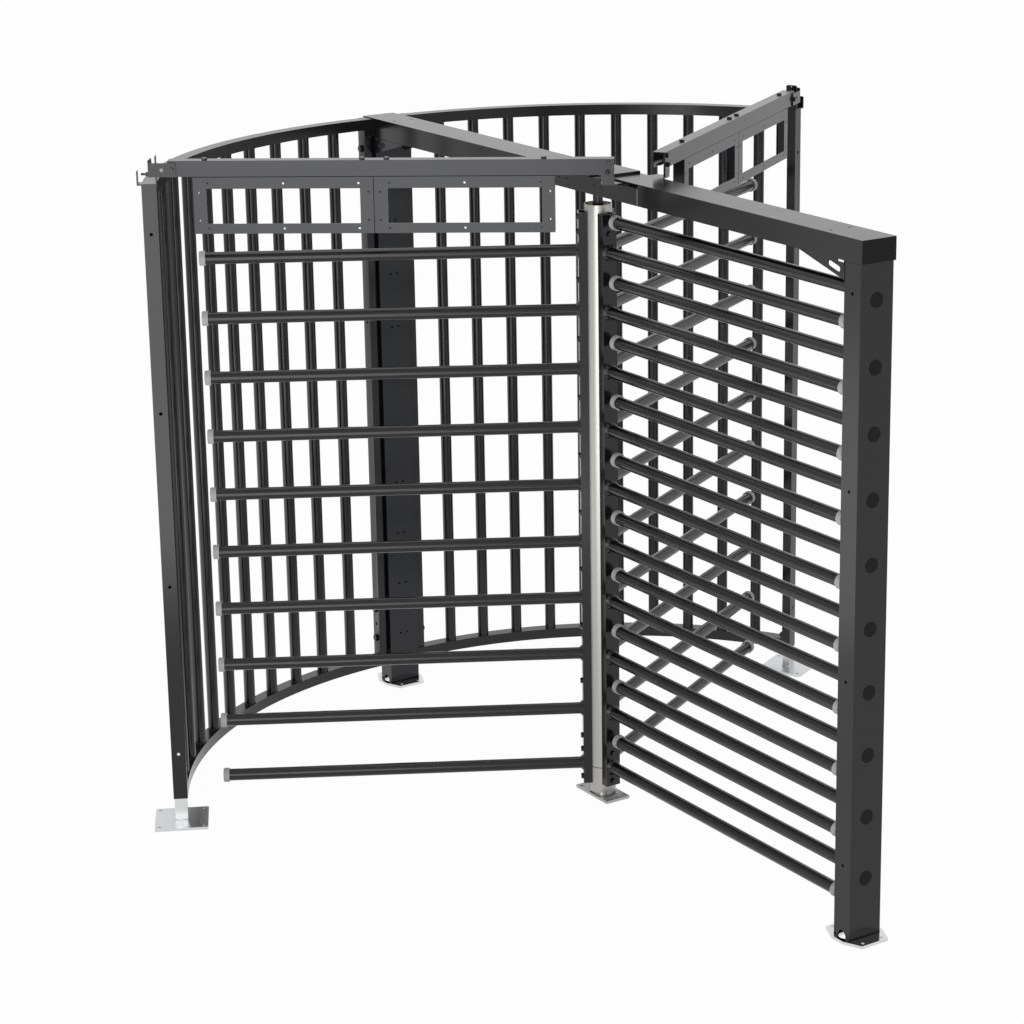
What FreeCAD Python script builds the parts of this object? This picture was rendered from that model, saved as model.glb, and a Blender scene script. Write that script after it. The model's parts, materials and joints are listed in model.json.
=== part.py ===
import FreeCAD, Part
import math
import os

# Full height turnstile: a three-wing rotor turns between a fixed comb and two curved cage panels.
# Millimetres, +Z up. The origin is on the rotor's axis at floor level. +X runs along the overhead
# beam to the comb column and +Y is the walking direction. The frame is mirrored about y = 0.

Vec = FreeCAD.Vector
ORIGIN = Vec(0, 0, 0)
UP = Vec(0, 0, 1)
ALONG_X = Vec(1, 0, 0)
ALONG_Y = Vec(0, 1, 0)

# Round tubes that every barrier is made of, with their plastic end caps
tube_d = 42.4
tube_wall = 2.6
cap_d = 51.0
cap_chamfer = 2.5
cap_socket = 12.0

# Bars of the comb and of each wing: one pitch for both, the wing's bars in the comb's gaps
bar_count = 10
bar_field_bottom_z = 120.0
comb_first_z = 232.7
comb_tip_x = 99.0
comb_cap_length = 23.0
wing_first_z = 122.0
wing_tip_r = 1367.8
wing_cap_length = 21.0

# Columns under both ends of the beam
column_x = 1458.0
column_depth = 78.0
column_width = 127.0
column_wall = 3.0
plug_drop = 19.0
plug_hole_d = 44.0
plug_d = 50.0
plug_dome = 1.5
plug_fit = 0.3
wall_hole_first_z = 259.0
wall_hole_last_drop = 96.5
wall_hole_count = 4
wall_hole_d = 11.0
cable_hole_d = 8.0
cable_hole_spacing = 29.4
foot_notch_width = 40.0
foot_notch_height = 24.0

# Base plates under the columns
plate_thickness = 10.0
plate_half_x = 93.0
plate_half_y = 82.0
plate_corner_x = 62.0
plate_corner_y = 28.0
anchor_hole_d = 12.0
column_anchor_x = 77.0
column_anchor_y = 38.0
plate_cable_hole_d = 50.0
plate_cable_hole_y = 44.0

# Overhead beam, a folded sheet channel that caps both columns
beam_top_z = 2300.0
beam_height = 74.0
beam_sheet = 2.5
beam_overhang = 8.0
beam_hole_x = 1318.0
beam_hole_y = 37.0
beam_hole_d = 12.0
gusset_length = 222.0
gusset_drop = 60.0
gusset_slot_width = 18.0
gusset_slot_length = 59.0
gusset_slot_from_column = 47.0
gusset_slot_below_beam = 25.0
gusset_notch_length = 30.0
gusset_notch_height = 7.0

# Head in the middle of the beam: cover, side panels and the plate that carries the lock
head_half_length = 331.0
head_slot_height = 16.0
cover_half_length = 160.0
cover_height = 8.0
cover_sheet = 2.0
cover_opening_margin = 26.0
panel_gap = 0.5
panel_hole_d = 8.0
panel_hole_x = (-140.0, -93.3, 71.6, 117.5)
panel_hole_drop = 24.5
head_plate_thickness = 4.0
head_flange_thickness = 3.0
head_plate_lap = 40.0

# Rotor: stainless core with three bolted wings
core_d = 96.4
core_wall = 3.0
core_top_gap = 46.0
sleeve_top_z = 115.0
sleeve_spigot = 30.0
rail_face_r = 70.0
rail_width = 57.0
rail_wall = 3.0
rail_bottom_z = 52.0
rail_top_drop = 28.0
collar_d = 60.0
collar_length = 10.0
wing_count = 3
rail_bolt_d = 12.0
rail_bolt_head = 19.0
rail_bolt_head_height = 8.0
rail_end_bolt_inset = 17.0
rail_end_bolt_step = 53.0

# Pivot on the floor and bearing under the head
pivot_plate_half_x = 99.0
pivot_plate_half_y = 50.0
pivot_anchor_x = 79.0
pivot_anchor_y = 39.0
thrust_ring_d = 80.0
thrust_ring_height = 8.0
pivot_pin_d = 30.0
pivot_pin_top_z = 98.0
running_gap = 0.3
running_fit = 0.05
lower_bearing_bottom_z = 50.0
lower_bearing_height = 30.0
shaft_d = 35.0
shaft_reach = 52.0
top_flange_recess = 10.0
top_flange_thickness = 12.0
bearing_d = 72.0
bearing_height = 17.0
bearing_lip = 6.0
bearing_lip_height = 3.0
housing_wall = 6.0

# Lock in the head: a disc with three lugs and one pawl for each walking direction
disc_gap = 4.0
disc_thickness = 10.0
disc_d = 80.0
lug_reach_r = 58.0
lug_angle = 15.0
lug_first_angle = -30.0
pawl_tip_angle = -17.5
pawl_tip_width = 8.0
pawl_tip_r = 46.0
pawl_pivot_x = 70.0
pawl_pivot_y = 42.0
pawl_swing = 14.0
pawl_arm_width = 12.0
pawl_arm_end_y = -20.0
pawl_boss_d = 20.0
pawl_pin_d = 10.0
plunger_d = 8.0
plunger_nose_d = 3.0
plunger_nose_length = 4.0
plunger_gap = 0.4
plunger_length = 66.0
plunger_fit = 0.3
solenoid_gap = 20.0
solenoid_length = 55.0
solenoid_width = 40.0
solenoid_height = 52.0

# Cage panels: vertical bars between two arc-shaped rails
cage_centre_x = 19.5
cage_centre_y = 60.9
cage_clearance = 105.6
cage_first_angle = 173.26
cage_bar_step = 5.573
cage_bar_count = 10
cage_rail_width = 50.0
cage_rail_height = 40.0
cage_rail_wall = 3.0
cage_top_drop = 3.0
cage_bottom_z = 88.0
cage_flange_thickness = 6.0
cage_flange_tail = 27.0
cage_bolt_d = 10.0
cage_bolt_head = 16.0
cage_bolt_head_height = 6.5
cage_bolt_spacing = 28.0

# Headers over both walkways
header_angle = 125.05
header_line_x = 325.9
header_start = 128.0
header_depth = 45.0
header_height = 54.0
header_rise = 25.0
header_wall = 3.0
header_lip = 12.0
header_tab_length = 44.0
header_tab_drop = 30.0
header_tab_bolt_up = 10.0
header_bolt_s = (363.0, 888.5, 970.0, 1497.0)
header_bolt_d = 10.0
header_bolt_head = 16.0
header_bolt_head_height = 6.5
header_bolt_grip = 16.0

# Sign frames that hang in the header's front plane
sign_start = 326.0
sign_length = 603.0
sign_gap = 4.0
sign_height = 193.5
sign_sheet = 3.0
sign_bend = 2.5
sign_return = 20.0
sign_side_border = 44.0
sign_bottom_border = 34.0
sign_window_height = 118.5
sign_hole_d = 7.5
sign_row_pitch = 252.5
sign_row_top_drop = 23.5
sign_row_bottom_rise = 17.0
sign_side_inset = 17.0
sign_side_low_rise = 45.0
sign_side_high_rise = 140.0

# Posts on the cage's arc, and their feet
post_angle = 117.4
post_width = 50.0
post_depth = 35.0
post_wall = 2.5
post_bottom_z = 90.0
post_hole_d = 12.0
stub_fit = 0.25
stub_wall = 3.0
stub_top_z = 320.0
foot_half = 94.0
foot_corner = 8.0
foot_anchor = 77.25

# Brackets on both ends of a header: an angle over a saddle at the post, a shelf at the beam
bracket_sheet = 5.0
bracket_inset = 8.0
bracket_face_length = 88.0
bracket_face_drop = 7.0
bracket_overlap = 28.0
bracket_bolt_inset = 15.0
bracket_hole_inset = 48.0
bracket_hole_d = 13.0
bracket_web_rise = 3.0
saddle_depth = 44.0
saddle_inner_reach = 28.0
saddle_outer_reach = 39.5
saddle_inner_rise = 96.0
saddle_outer_rise = 46.0
fin_corner = 7.0
fin_slot_width = 4.0
fin_slot_height = 10.0
fin_slot_drop = 4.0
stud_d = 8.0
stud_up = 6.0
stud_inset = 58.0
stud_reach = 28.0
nut_size = 13.0
nut_length = 12.0
nut_flange_d = 17.0
nut_flange_height = 3.0
beam_bracket_near_x = 185.0
beam_bracket_far_x = 262.0
beam_bracket_leg = 28.0
beam_bracket_bolt_inset = 16.0
beam_bracket_overshoot = 12.0
tab_corner = 8.0

# Places that follow from the sizes above
beam_half_x = column_x + column_depth / 2 + beam_overhang
beam_half_y = column_width / 2 + beam_sheet
beam_bottom_z = beam_top_z - beam_height
beam_under_z = beam_top_z - beam_sheet
panel_top_z = beam_top_z - head_slot_height
head_floor_z = beam_bottom_z + head_plate_thickness
head_flange_y = column_width / 2 - head_flange_thickness
column_face_x = column_x - column_depth / 2
wall_hole_pitch = (beam_bottom_z - wall_hole_first_z - wall_hole_last_drop) / (wall_hole_count - 1)
bar_pitch = (beam_bottom_z - bar_field_bottom_z) / bar_count
core_top_z = beam_bottom_z - core_top_gap
rail_top_z = core_top_z - rail_top_drop
shaft_bottom_z = core_top_z - shaft_reach
core_r = core_d / 2
core_bore_r = core_r - core_wall
rotor_bottom_z = plate_thickness + thrust_ring_height + running_gap
bearing_bottom_z = head_floor_z + bearing_lip_height
disc_bottom_z = bearing_bottom_z + bearing_height + disc_gap
disc_top_z = disc_bottom_z + disc_thickness
shaft_top_z = disc_top_z + disc_gap
cage_radius = wing_tip_r + cage_clearance
cage_top_z = beam_top_z - cage_top_drop
header_bottom_z = beam_top_z + header_rise
header_top_z = header_bottom_z + header_height
sign_bottom_z = header_bottom_z - sign_height
header_place = FreeCAD.Placement(Vec(header_line_x, 0, 0), FreeCAD.Rotation(UP, header_angle))


# Shapes that many pieces share

def box(x0, x1, y0, y1, z0, z1):
    return Part.makeBox(x1 - x0, y1 - y0, z1 - z0, Vec(x0, y0, z0))


def rod(diameter, length, start, direction=UP):
    return Part.makeCylinder(diameter / 2, length, start, direction)


def tube(diameter, wall, length, start, direction=UP):
    return rod(diameter, length, start, direction).cut(rod(diameter - 2 * wall, length, start, direction))


def prism(points, travel):
    return Part.Face(Part.makePolygon(points + points[:1])).extrude(travel)


def turned(profile, start=ORIGIN, direction=UP):
    """Revolve (radius, height) points about an axis through start."""
    points = [Vec(radius, 0, height) for radius, height in profile]
    solid = Part.Face(Part.makePolygon(points + points[:1])).revolve(ORIGIN, UP, 360)
    solid.Placement = FreeCAD.Placement(start, FreeCAD.Rotation(UP, direction))
    return solid


def polar(radius, degrees, z=0.0):
    angle = math.radians(degrees)
    return Vec(radius * math.cos(angle), radius * math.sin(angle), z)


def holes(shape, diameter, depth, starts, direction=UP):
    """Cut one round hole per start point, each going depth along the direction."""
    return shape.cut([rod(diameter, depth, start, direction) for start in starts])


def round_edges(solid, radius, axis):
    """Round every edge of a box that runs along the axis."""
    edges = [edge for edge in solid.Edges if abs(edge.tangentAt(edge.FirstParameter).dot(axis)) > 0.999]
    return solid.makeFillet(radius, edges)


def bolt(seat, outward, shank_d, head_size, head_height, grip):
    """Hexagon bolt: the head stands on the seat and the shank runs back through the joint."""
    radius = head_size / math.sqrt(3)
    corners = [polar(radius, 60 * k) for k in range(6)]
    solid = prism(corners, Vec(0, 0, head_height)).fuse(rod(shank_d, grip, Vec(0, 0, -grip)))
    solid.Placement = FreeCAD.Placement(seat, FreeCAD.Rotation(UP, outward))
    return solid


def mirrored(shape):
    return shape.mirror(ORIGIN, ALONG_Y)


def moved(shape, placement):
    copy = shape.copy()
    copy.Placement = placement.multiply(copy.Placement)
    return copy


def save(node, *shapes):
    solids = [solid for shape in shapes for solid in shape.Solids]
    Part.makeCompound(solids).exportStep("parts/" + node + ".step")


def save_pair(name, *shapes):
    """The right-hand piece as modelled, on the +Y side, and its mirror image on the left."""
    save("right_" + name, *shapes)
    save("left_" + name, *[mirrored(shape) for shape in shapes])


# Columns, their base plates and plugs

def comb_heights():
    return [comb_first_z + k * bar_pitch for k in range(bar_count)]


def wall_hole_heights():
    return [wall_hole_first_z + k * wall_hole_pitch for k in range(wall_hole_count)]


def column_tube(x):
    half_x = column_depth / 2
    half_y = column_width / 2
    shell = box(x - half_x, x + half_x, -half_y, half_y, plate_thickness, beam_under_z)
    bore = box(x - half_x + column_wall, x + half_x - column_wall, column_wall - half_y,
               half_y - column_wall, plate_thickness, beam_under_z)
    shell = shell.cut([bore, foot_notch(x)])
    starts = [Vec(x, -half_y, z) for z in wall_hole_heights()]
    return holes(shell, wall_hole_d, column_width, starts, ALONG_Y)


def foot_notch(x):
    """Round-topped opening for cables through both wide walls, at the base plate."""
    half_x = foot_notch_width / 2
    half_y = column_width / 2
    spring_z = plate_thickness + foot_notch_height - half_x
    arch = rod(foot_notch_width, column_width, Vec(x, -half_y, spring_z), ALONG_Y)
    arch = arch.fuse(box(x - half_x, x + half_x, -half_y, half_y, plate_thickness, spring_z))
    return arch.common(box(x - half_x, x + half_x, -half_y, half_y, plate_thickness, spring_z + half_x))


def front_column():
    face = column_x + column_depth / 2 - column_wall
    starts = [Vec(face, 0, z - plug_drop) for z in comb_heights()]
    return holes(column_tube(column_x), plug_hole_d, column_wall, starts, ALONG_X)


def rear_column():
    face = -column_face_x - column_wall
    starts = [Vec(face, side * cable_hole_spacing / 2, z - plug_drop)
              for z in comb_heights() for side in (-1, 1)]
    return holes(column_tube(-column_x), cable_hole_d, column_wall, starts, ALONG_X)


def column_base_plate(x):
    inner_x = plate_half_x - plate_corner_x
    inner_y = plate_half_y - plate_corner_y
    quarter = [(plate_half_x, inner_y), (inner_x, plate_half_y)]
    outline = quarter + [(-a, b) for a, b in reversed(quarter)]
    outline += [(-a, -b) for a, b in quarter] + [(a, -b) for a, b in reversed(quarter)]
    plate = prism([Vec(x + a, b, 0) for a, b in outline], Vec(0, 0, plate_thickness))
    anchors = [Vec(x + a * column_anchor_x, b * column_anchor_y, 0) for a in (-1, 1) for b in (-1, 1)]
    plate = holes(plate, anchor_hole_d, plate_thickness, anchors)
    cables = [Vec(x, b * plate_cable_hole_y, 0) for b in (-1, 1)]
    return holes(plate, plate_cable_hole_d, plate_thickness, cables)


def column_plug(z):
    face = column_x + column_depth / 2
    spigot_r = plug_hole_d / 2 - plug_fit
    rim_r = plug_d / 2
    profile = [(0, -column_wall), (spigot_r, -column_wall), (spigot_r, 0), (rim_r, 0),
               (rim_r, plug_dome / 2), (rim_r - plug_dome, plug_dome), (0, plug_dome)]
    return turned(profile, Vec(face, 0, z - plug_drop), ALONG_X)


def make_columns():
    save("front_column", front_column())
    save("rear_column", rear_column())
    save("front_column_base_plate", column_base_plate(column_x))
    save("rear_column_base_plate", column_base_plate(-column_x))
    save("column_plugs", *[column_plug(z) for z in comb_heights()])


# Overhead beam and what closes it

def overhead_beam():
    shell = box(-beam_half_x, beam_half_x, -beam_half_y, beam_half_y, beam_bottom_z, beam_top_z)
    bore_x = beam_half_x - beam_sheet
    bore_y = column_width / 2
    shell = shell.cut(box(-bore_x, bore_x, -bore_y, bore_y, beam_bottom_z, beam_under_z))
    window = box(-head_half_length, head_half_length, -beam_half_y, beam_half_y, beam_bottom_z, beam_under_z)
    hatch_x = cover_half_length - cover_opening_margin
    hatch_y = beam_half_y - cover_opening_margin
    hatch = box(-hatch_x, hatch_x, -hatch_y, hatch_y, beam_under_z, beam_top_z)
    starts = [Vec(a * beam_hole_x, b * beam_hole_y, beam_under_z) for a in (-1, 1) for b in (-1, 1)]
    return holes(shell.cut([window, hatch]), beam_hole_d, beam_sheet, starts)


def gusset_cheek():
    """Triangular brace under the +X end, flush with the beam's +Y side."""
    start_x = column_face_x - gusset_length
    y = column_width / 2
    corners = [Vec(start_x, y, beam_bottom_z), Vec(column_face_x, y, beam_bottom_z),
               Vec(column_face_x, y, beam_bottom_z - gusset_drop)]
    notch = box(column_face_x - gusset_notch_length, column_face_x, y, beam_half_y,
                beam_bottom_z - gusset_notch_height, beam_bottom_z)
    return prism(corners, Vec(0, beam_sheet, 0)).cut([gusset_slot(), notch])


def gusset_slot():
    """Round-ended slot along the sloping edge of a cheek."""
    tilt = math.degrees(math.atan2(gusset_drop, gusset_length))
    half = (gusset_slot_length - gusset_slot_width) / 2
    radius = gusset_slot_width / 2
    slot = box(-half, half, 0, beam_half_y, -radius, radius)
    for end in (-half, half):
        slot = slot.fuse(rod(gusset_slot_width, beam_half_y, Vec(end, 0, 0), ALONG_Y))
    centre = Vec(column_face_x - gusset_slot_from_column, 0, beam_bottom_z - gusset_slot_below_beam)
    return moved(slot, FreeCAD.Placement(centre, FreeCAD.Rotation(ALONG_Y, tilt)))


def head_cover():
    tray = box(-cover_half_length, cover_half_length, -beam_half_y, beam_half_y,
               beam_top_z, beam_top_z + cover_height)
    inner_x = cover_half_length - cover_sheet
    inner_y = beam_half_y - cover_sheet
    return tray.cut(box(-inner_x, inner_x, -inner_y, inner_y,
                        beam_top_z, beam_top_z + cover_height - cover_sheet))


def bracket_bolt_seats():
    """Places on the mechanism plate's +Y flange, inside it, where the beam bracket is bolted on."""
    z = panel_top_z + bracket_sheet - beam_bracket_leg / 2
    return [Vec(beam_bracket_near_x + beam_bracket_bolt_inset, head_flange_y, z),
            Vec(beam_bracket_far_x - beam_bracket_bolt_inset, head_flange_y, z)]


def head_side_panel():
    """Removable panel on the +Y side. It stops short of the beam's top and leaves a slot."""
    half_x = head_half_length - panel_gap
    panel = box(-half_x, half_x, column_width / 2, beam_half_y, beam_bottom_z, panel_top_z)
    starts = [Vec(x, column_width / 2, panel_top_z - panel_hole_drop) for x in panel_hole_x]
    return holes(panel, panel_hole_d, beam_sheet, starts, ALONG_Y)


def mechanism_plate():
    """Channel inside the beam. Its flanges lap the beam's sides past the panels' ends."""
    half_x = head_half_length + head_plate_lap
    half_y = column_width / 2
    channel = box(-half_x, half_x, -half_y, half_y, beam_bottom_z, panel_top_z)
    channel = channel.cut(box(-half_x, half_x, -head_flange_y, head_flange_y, head_floor_z, panel_top_z))
    throat = rod(bearing_d - 2 * bearing_lip, head_plate_thickness, Vec(0, 0, beam_bottom_z))
    starts = [Vec(seat.x, -half_y, seat.z) for seat in bracket_bolt_seats()]
    return holes(channel.cut(throat), header_bolt_d, column_width, starts, ALONG_Y)


def make_beam():
    save("overhead_beam", overhead_beam())
    pair = [gusset_cheek(), mirrored(gusset_cheek())]
    save("beam_gussets", *pair, *[cheek.mirror(ORIGIN, ALONG_X) for cheek in pair])
    save("head_cover", head_cover())
    panel = head_side_panel()
    save("head_side_panels", panel, mirrored(panel))
    save("mechanism_plate", mechanism_plate())


# Comb

def end_cap(length, tip, outward):
    """Plastic cap pushed over a tube's end. The tip is the centre of its outer face."""
    radius = cap_d / 2
    bore = tube_d / 2
    profile = [(0, 0), (radius - cap_chamfer, 0), (radius, -cap_chamfer), (radius, -length),
               (bore, -length), (bore, cap_socket - length), (0, cap_socket - length)]
    return turned(profile, tip, outward)


def make_comb():
    tube_start = comb_tip_x + comb_cap_length - cap_socket
    tubes = [tube(tube_d, tube_wall, column_face_x - tube_start, Vec(tube_start, 0, z), ALONG_X)
             for z in comb_heights()]
    caps = [end_cap(comb_cap_length, Vec(comb_tip_x, 0, z), -ALONG_X) for z in comb_heights()]
    save("comb_tubes", *tubes)
    save("comb_end_caps", *caps)


# Rotor

def wing_heights():
    return [wing_first_z + k * bar_pitch for k in range(bar_count)]


def rail_bolt_heights():
    between = [z + bar_pitch / 2 for z in wing_heights()[:-1]]
    low = rail_bottom_z + rail_end_bolt_inset
    high = rail_top_z - rail_end_bolt_inset
    return [low, wing_first_z + rail_end_bolt_step] + between + [high - rail_end_bolt_step, high]


def wing_rail():
    """Channel that stands on the core with its open side inward, along +X."""
    half = rail_width / 2
    channel = box(0, rail_face_r, -half, half, rail_bottom_z, rail_top_z)
    inner = half - rail_wall
    channel = channel.cut(box(0, rail_face_r - rail_wall, -inner, inner, rail_bottom_z, rail_top_z))
    channel = channel.cut(rod(core_d, rail_top_z - rail_bottom_z, Vec(0, 0, rail_bottom_z)))
    starts = [Vec(rail_face_r - rail_wall, 0, z) for z in rail_bolt_heights()]
    return holes(channel, rail_bolt_d, rail_wall, starts, ALONG_X)


def wing_tube(z):
    """Bar with a flared weld collar at its root, along +X from the rail's face."""
    radius = tube_d / 2
    end = wing_tip_r - wing_cap_length + cap_socket - rail_face_r
    profile = [(radius - tube_wall, 0), (collar_d / 2, 0), (radius, collar_length), (radius, end),
               (radius - tube_wall, end)]
    return turned(profile, Vec(rail_face_r, 0, z), ALONG_X)


def rail_bolt(z):
    return bolt(Vec(rail_face_r, 0, z), ALONG_X, rail_bolt_d, rail_bolt_head,
                rail_bolt_head_height, rail_face_r - core_r)


def make_wings():
    caps = []
    bolts = []
    for number in range(wing_count):
        turn = FreeCAD.Placement(ORIGIN, FreeCAD.Rotation(UP, number * 360 / wing_count))
        name = "wing_" + str(number + 1)
        save(name + "_rail", moved(wing_rail(), turn))
        save(name + "_tubes", *[moved(wing_tube(z), turn) for z in wing_heights()])
        for z in wing_heights():
            caps.append(moved(end_cap(wing_cap_length, Vec(wing_tip_r, 0, z), ALONG_X), turn))
        bolts += [moved(rail_bolt(z), turn) for z in rail_bolt_heights()]
    save("wing_end_caps", *caps)
    save("rail_bolts", *bolts)


def rotor_sleeve():
    """Lower sleeve of the core. Its spigot reaches up inside the core tube."""
    spigot_r = core_bore_r
    bore_r = spigot_r - core_wall
    profile = [(bore_r, rotor_bottom_z), (core_r, rotor_bottom_z), (core_r, sleeve_top_z),
               (spigot_r, sleeve_top_z), (spigot_r, sleeve_top_z + sleeve_spigot),
               (bore_r, sleeve_top_z + sleeve_spigot)]
    return turned(profile)


def lower_bearing():
    """Bush in the sleeve that runs on the floor pivot's pin."""
    outer = 2 * (core_bore_r - core_wall)
    wall = (outer - pivot_pin_d) / 2 - running_fit
    return tube(outer, wall, lower_bearing_height, Vec(0, 0, lower_bearing_bottom_z))


def lock_disc():
    """Ratchet disc clamped on the shaft, with one lug for each wing."""
    disc = rod(disc_d, disc_thickness, Vec(0, 0, disc_bottom_z))
    for number in range(wing_count):
        middle = lug_first_angle + number * 360 / wing_count
        disc = disc.fuse(lug(middle))
    return disc.cut(rod(shaft_d, disc_thickness, Vec(0, 0, disc_bottom_z)))


def lug(middle):
    """Ring segment whose flanks are radial, between two angles about its middle."""
    inner_r = (shaft_d + disc_d) / 4
    start = middle - lug_angle / 2
    edge = Part.makePolygon([polar(inner_r, start, disc_bottom_z), polar(lug_reach_r, start, disc_bottom_z),
                             polar(lug_reach_r, start, disc_top_z), polar(inner_r, start, disc_top_z),
                             polar(inner_r, start, disc_bottom_z)])
    return Part.Face(edge).revolve(ORIGIN, UP, lug_angle)


def make_rotor_core():
    core = tube(core_d, core_wall, core_top_z - sleeve_top_z, Vec(0, 0, sleeve_top_z))
    save("rotor_core", core)
    save("rotor_lower_sleeve", rotor_sleeve())
    save("lower_bearing", lower_bearing())
    flange_z = core_top_z - top_flange_recess - top_flange_thickness
    flange_d = 2 * core_bore_r
    flange_wall = (flange_d - shaft_d) / 2
    save("rotor_top_flange", tube(flange_d, flange_wall, top_flange_thickness, Vec(0, 0, flange_z)))
    save("rotor_shaft", rod(shaft_d, shaft_top_z - shaft_bottom_z, Vec(0, 0, shaft_bottom_z)))
    save("lock_disc", lock_disc())


# Floor pivot and upper bearing

def pivot_base_plate():
    plate = box(-pivot_plate_half_x, pivot_plate_half_x, -pivot_plate_half_y, pivot_plate_half_y,
                0, plate_thickness)
    anchors = [Vec(a * pivot_anchor_x, b * pivot_anchor_y, 0) for a in (-1, 1) for b in (-1, 1)]
    return holes(plate, anchor_hole_d, plate_thickness, anchors)


def pivot_pin():
    """Thrust ring on the base plate with the pin that the rotor turns on."""
    ring = rod(thrust_ring_d, thrust_ring_height, Vec(0, 0, plate_thickness))
    return ring.fuse(rod(pivot_pin_d, pivot_pin_top_z - plate_thickness, Vec(0, 0, plate_thickness)))


def bearing_housing():
    outer_r = bearing_d / 2 + housing_wall
    lip_r = bearing_d / 2 - bearing_lip
    top = bearing_bottom_z + bearing_height
    profile = [(lip_r, head_floor_z), (outer_r, head_floor_z), (outer_r, top), (bearing_d / 2, top),
               (bearing_d / 2, bearing_bottom_z), (lip_r, bearing_bottom_z)]
    return turned(profile)


def upper_bearing():
    wall = (bearing_d - shaft_d) / 2 - running_fit
    return tube(bearing_d, wall, bearing_height, Vec(0, 0, bearing_bottom_z))


def make_pivots():
    save("pivot_base_plate", pivot_base_plate())
    save("pivot_pin", pivot_pin())
    save("upper_bearing_housing", bearing_housing())
    save("upper_bearing", upper_bearing())


# Lock pawls, their pins and solenoids

def pawl_engaged():
    """Pawl on the +X side with its hook in front of a lug, before it is swung clear."""
    inner_x = pawl_pivot_x - pawl_arm_width / 2
    outer_x = pawl_pivot_x + pawl_arm_width / 2
    arm = box(inner_x, outer_x, pawl_arm_end_y, pawl_pivot_y, disc_bottom_z, disc_top_z)
    low = pawl_tip_angle - pawl_tip_width / 2
    high = pawl_tip_angle + pawl_tip_width / 2
    root_r = math.hypot(pawl_pivot_x, pawl_arm_end_y)
    hook = prism([polar(pawl_tip_r, low, disc_bottom_z), polar(root_r, low, disc_bottom_z),
                  polar(root_r, high, disc_bottom_z), polar(pawl_tip_r, high, disc_bottom_z)],
                 Vec(0, 0, disc_thickness))
    boss = rod(pawl_boss_d, disc_thickness, Vec(pawl_pivot_x, pawl_pivot_y, disc_bottom_z))
    bore_d = pawl_pin_d + 2 * running_fit
    bore = rod(bore_d, disc_thickness, Vec(pawl_pivot_x, pawl_pivot_y, disc_bottom_z))
    return arm.fuse([hook, boss]).cut(bore)


def pawl_clear():
    """The pawl at rest, swung out of the lugs' path."""
    pawl = pawl_engaged()
    pawl.rotate(Vec(pawl_pivot_x, pawl_pivot_y, 0), UP, pawl_swing)
    return pawl


def pawl_pin():
    base = Vec(pawl_pivot_x, pawl_pivot_y, head_floor_z)
    shoulder = disc_bottom_z - running_gap - head_floor_z
    return rod(pawl_boss_d, shoulder, base).fuse(rod(pawl_pin_d, shaft_top_z - head_floor_z, base))


def plunger_tip_x():
    """Just outside the slanting outer face of the pawl at rest, across the plunger's nose."""
    swing = math.radians(pawl_swing)
    half = pawl_arm_width / 2
    down = (pawl_pivot_y + half * math.sin(swing)) / math.cos(swing)
    face_x = pawl_pivot_x + half * math.cos(swing) + down * math.sin(swing)
    return face_x + plunger_nose_d / 2 * math.tan(swing) + plunger_gap


def plunger():
    """Solenoid plunger with a tapered nose, along +X from its tip."""
    radius = plunger_d / 2
    profile = [(0, 0), (plunger_nose_d / 2, 0), (radius, plunger_nose_length), (radius, plunger_length),
               (0, plunger_length)]
    return turned(profile, Vec(plunger_tip_x(), 0, lock_axis_z()), ALONG_X)


def lock_axis_z():
    return (disc_bottom_z + disc_top_z) / 2


def solenoid():
    start = plunger_tip_x() + solenoid_gap
    body = box(start, start + solenoid_length, -solenoid_width / 2, solenoid_width / 2,
               head_floor_z, head_floor_z + solenoid_height)
    bore = rod(plunger_d + 2 * plunger_fit, solenoid_length, Vec(start, 0, lock_axis_z()), ALONG_X)
    return body.cut(bore)


def make_lock():
    """The exit side's lock is on +X. The entry side's is its mirror image about x = 0."""
    save("exit_pawl", pawl_clear())
    save("entry_pawl", pawl_clear().mirror(ORIGIN, ALONG_X))
    save("exit_plunger", plunger())
    save("entry_plunger", plunger().mirror(ORIGIN, ALONG_X))
    save("pawl_pins", pawl_pin(), pawl_pin().mirror(ORIGIN, ALONG_X))
    save("lock_solenoids", solenoid(), solenoid().mirror(ORIGIN, ALONG_X))


# Cage panels, modelled on the +Y side

def cage_point(degrees):
    return Vec(cage_centre_x, cage_centre_y, 0) + polar(cage_radius, degrees)


def arc_bar(width, height, z, start, sweep):
    """Bar of rectangular section that follows the cage's arc."""
    inner = cage_radius - width / 2
    outer = cage_radius + width / 2
    corners = [polar(inner, start, z), polar(outer, start, z), polar(outer, start, z + height),
               polar(inner, start, z + height)]
    solid = Part.Face(Part.makePolygon(corners + corners[:1])).revolve(ORIGIN, UP, sweep)
    solid.translate(Vec(cage_centre_x, cage_centre_y, 0))
    return solid


def post_place():
    """Frame of the post: +x away from the cage's centre and +y back along the arc."""
    return FreeCAD.Placement(cage_point(post_angle), FreeCAD.Rotation(UP, post_angle))


def arc_at_side(y):
    """X of the cage's arc where it meets a plane beside the rear column."""
    return cage_centre_x - math.sqrt(cage_radius ** 2 - (y - cage_centre_y) ** 2)


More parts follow.
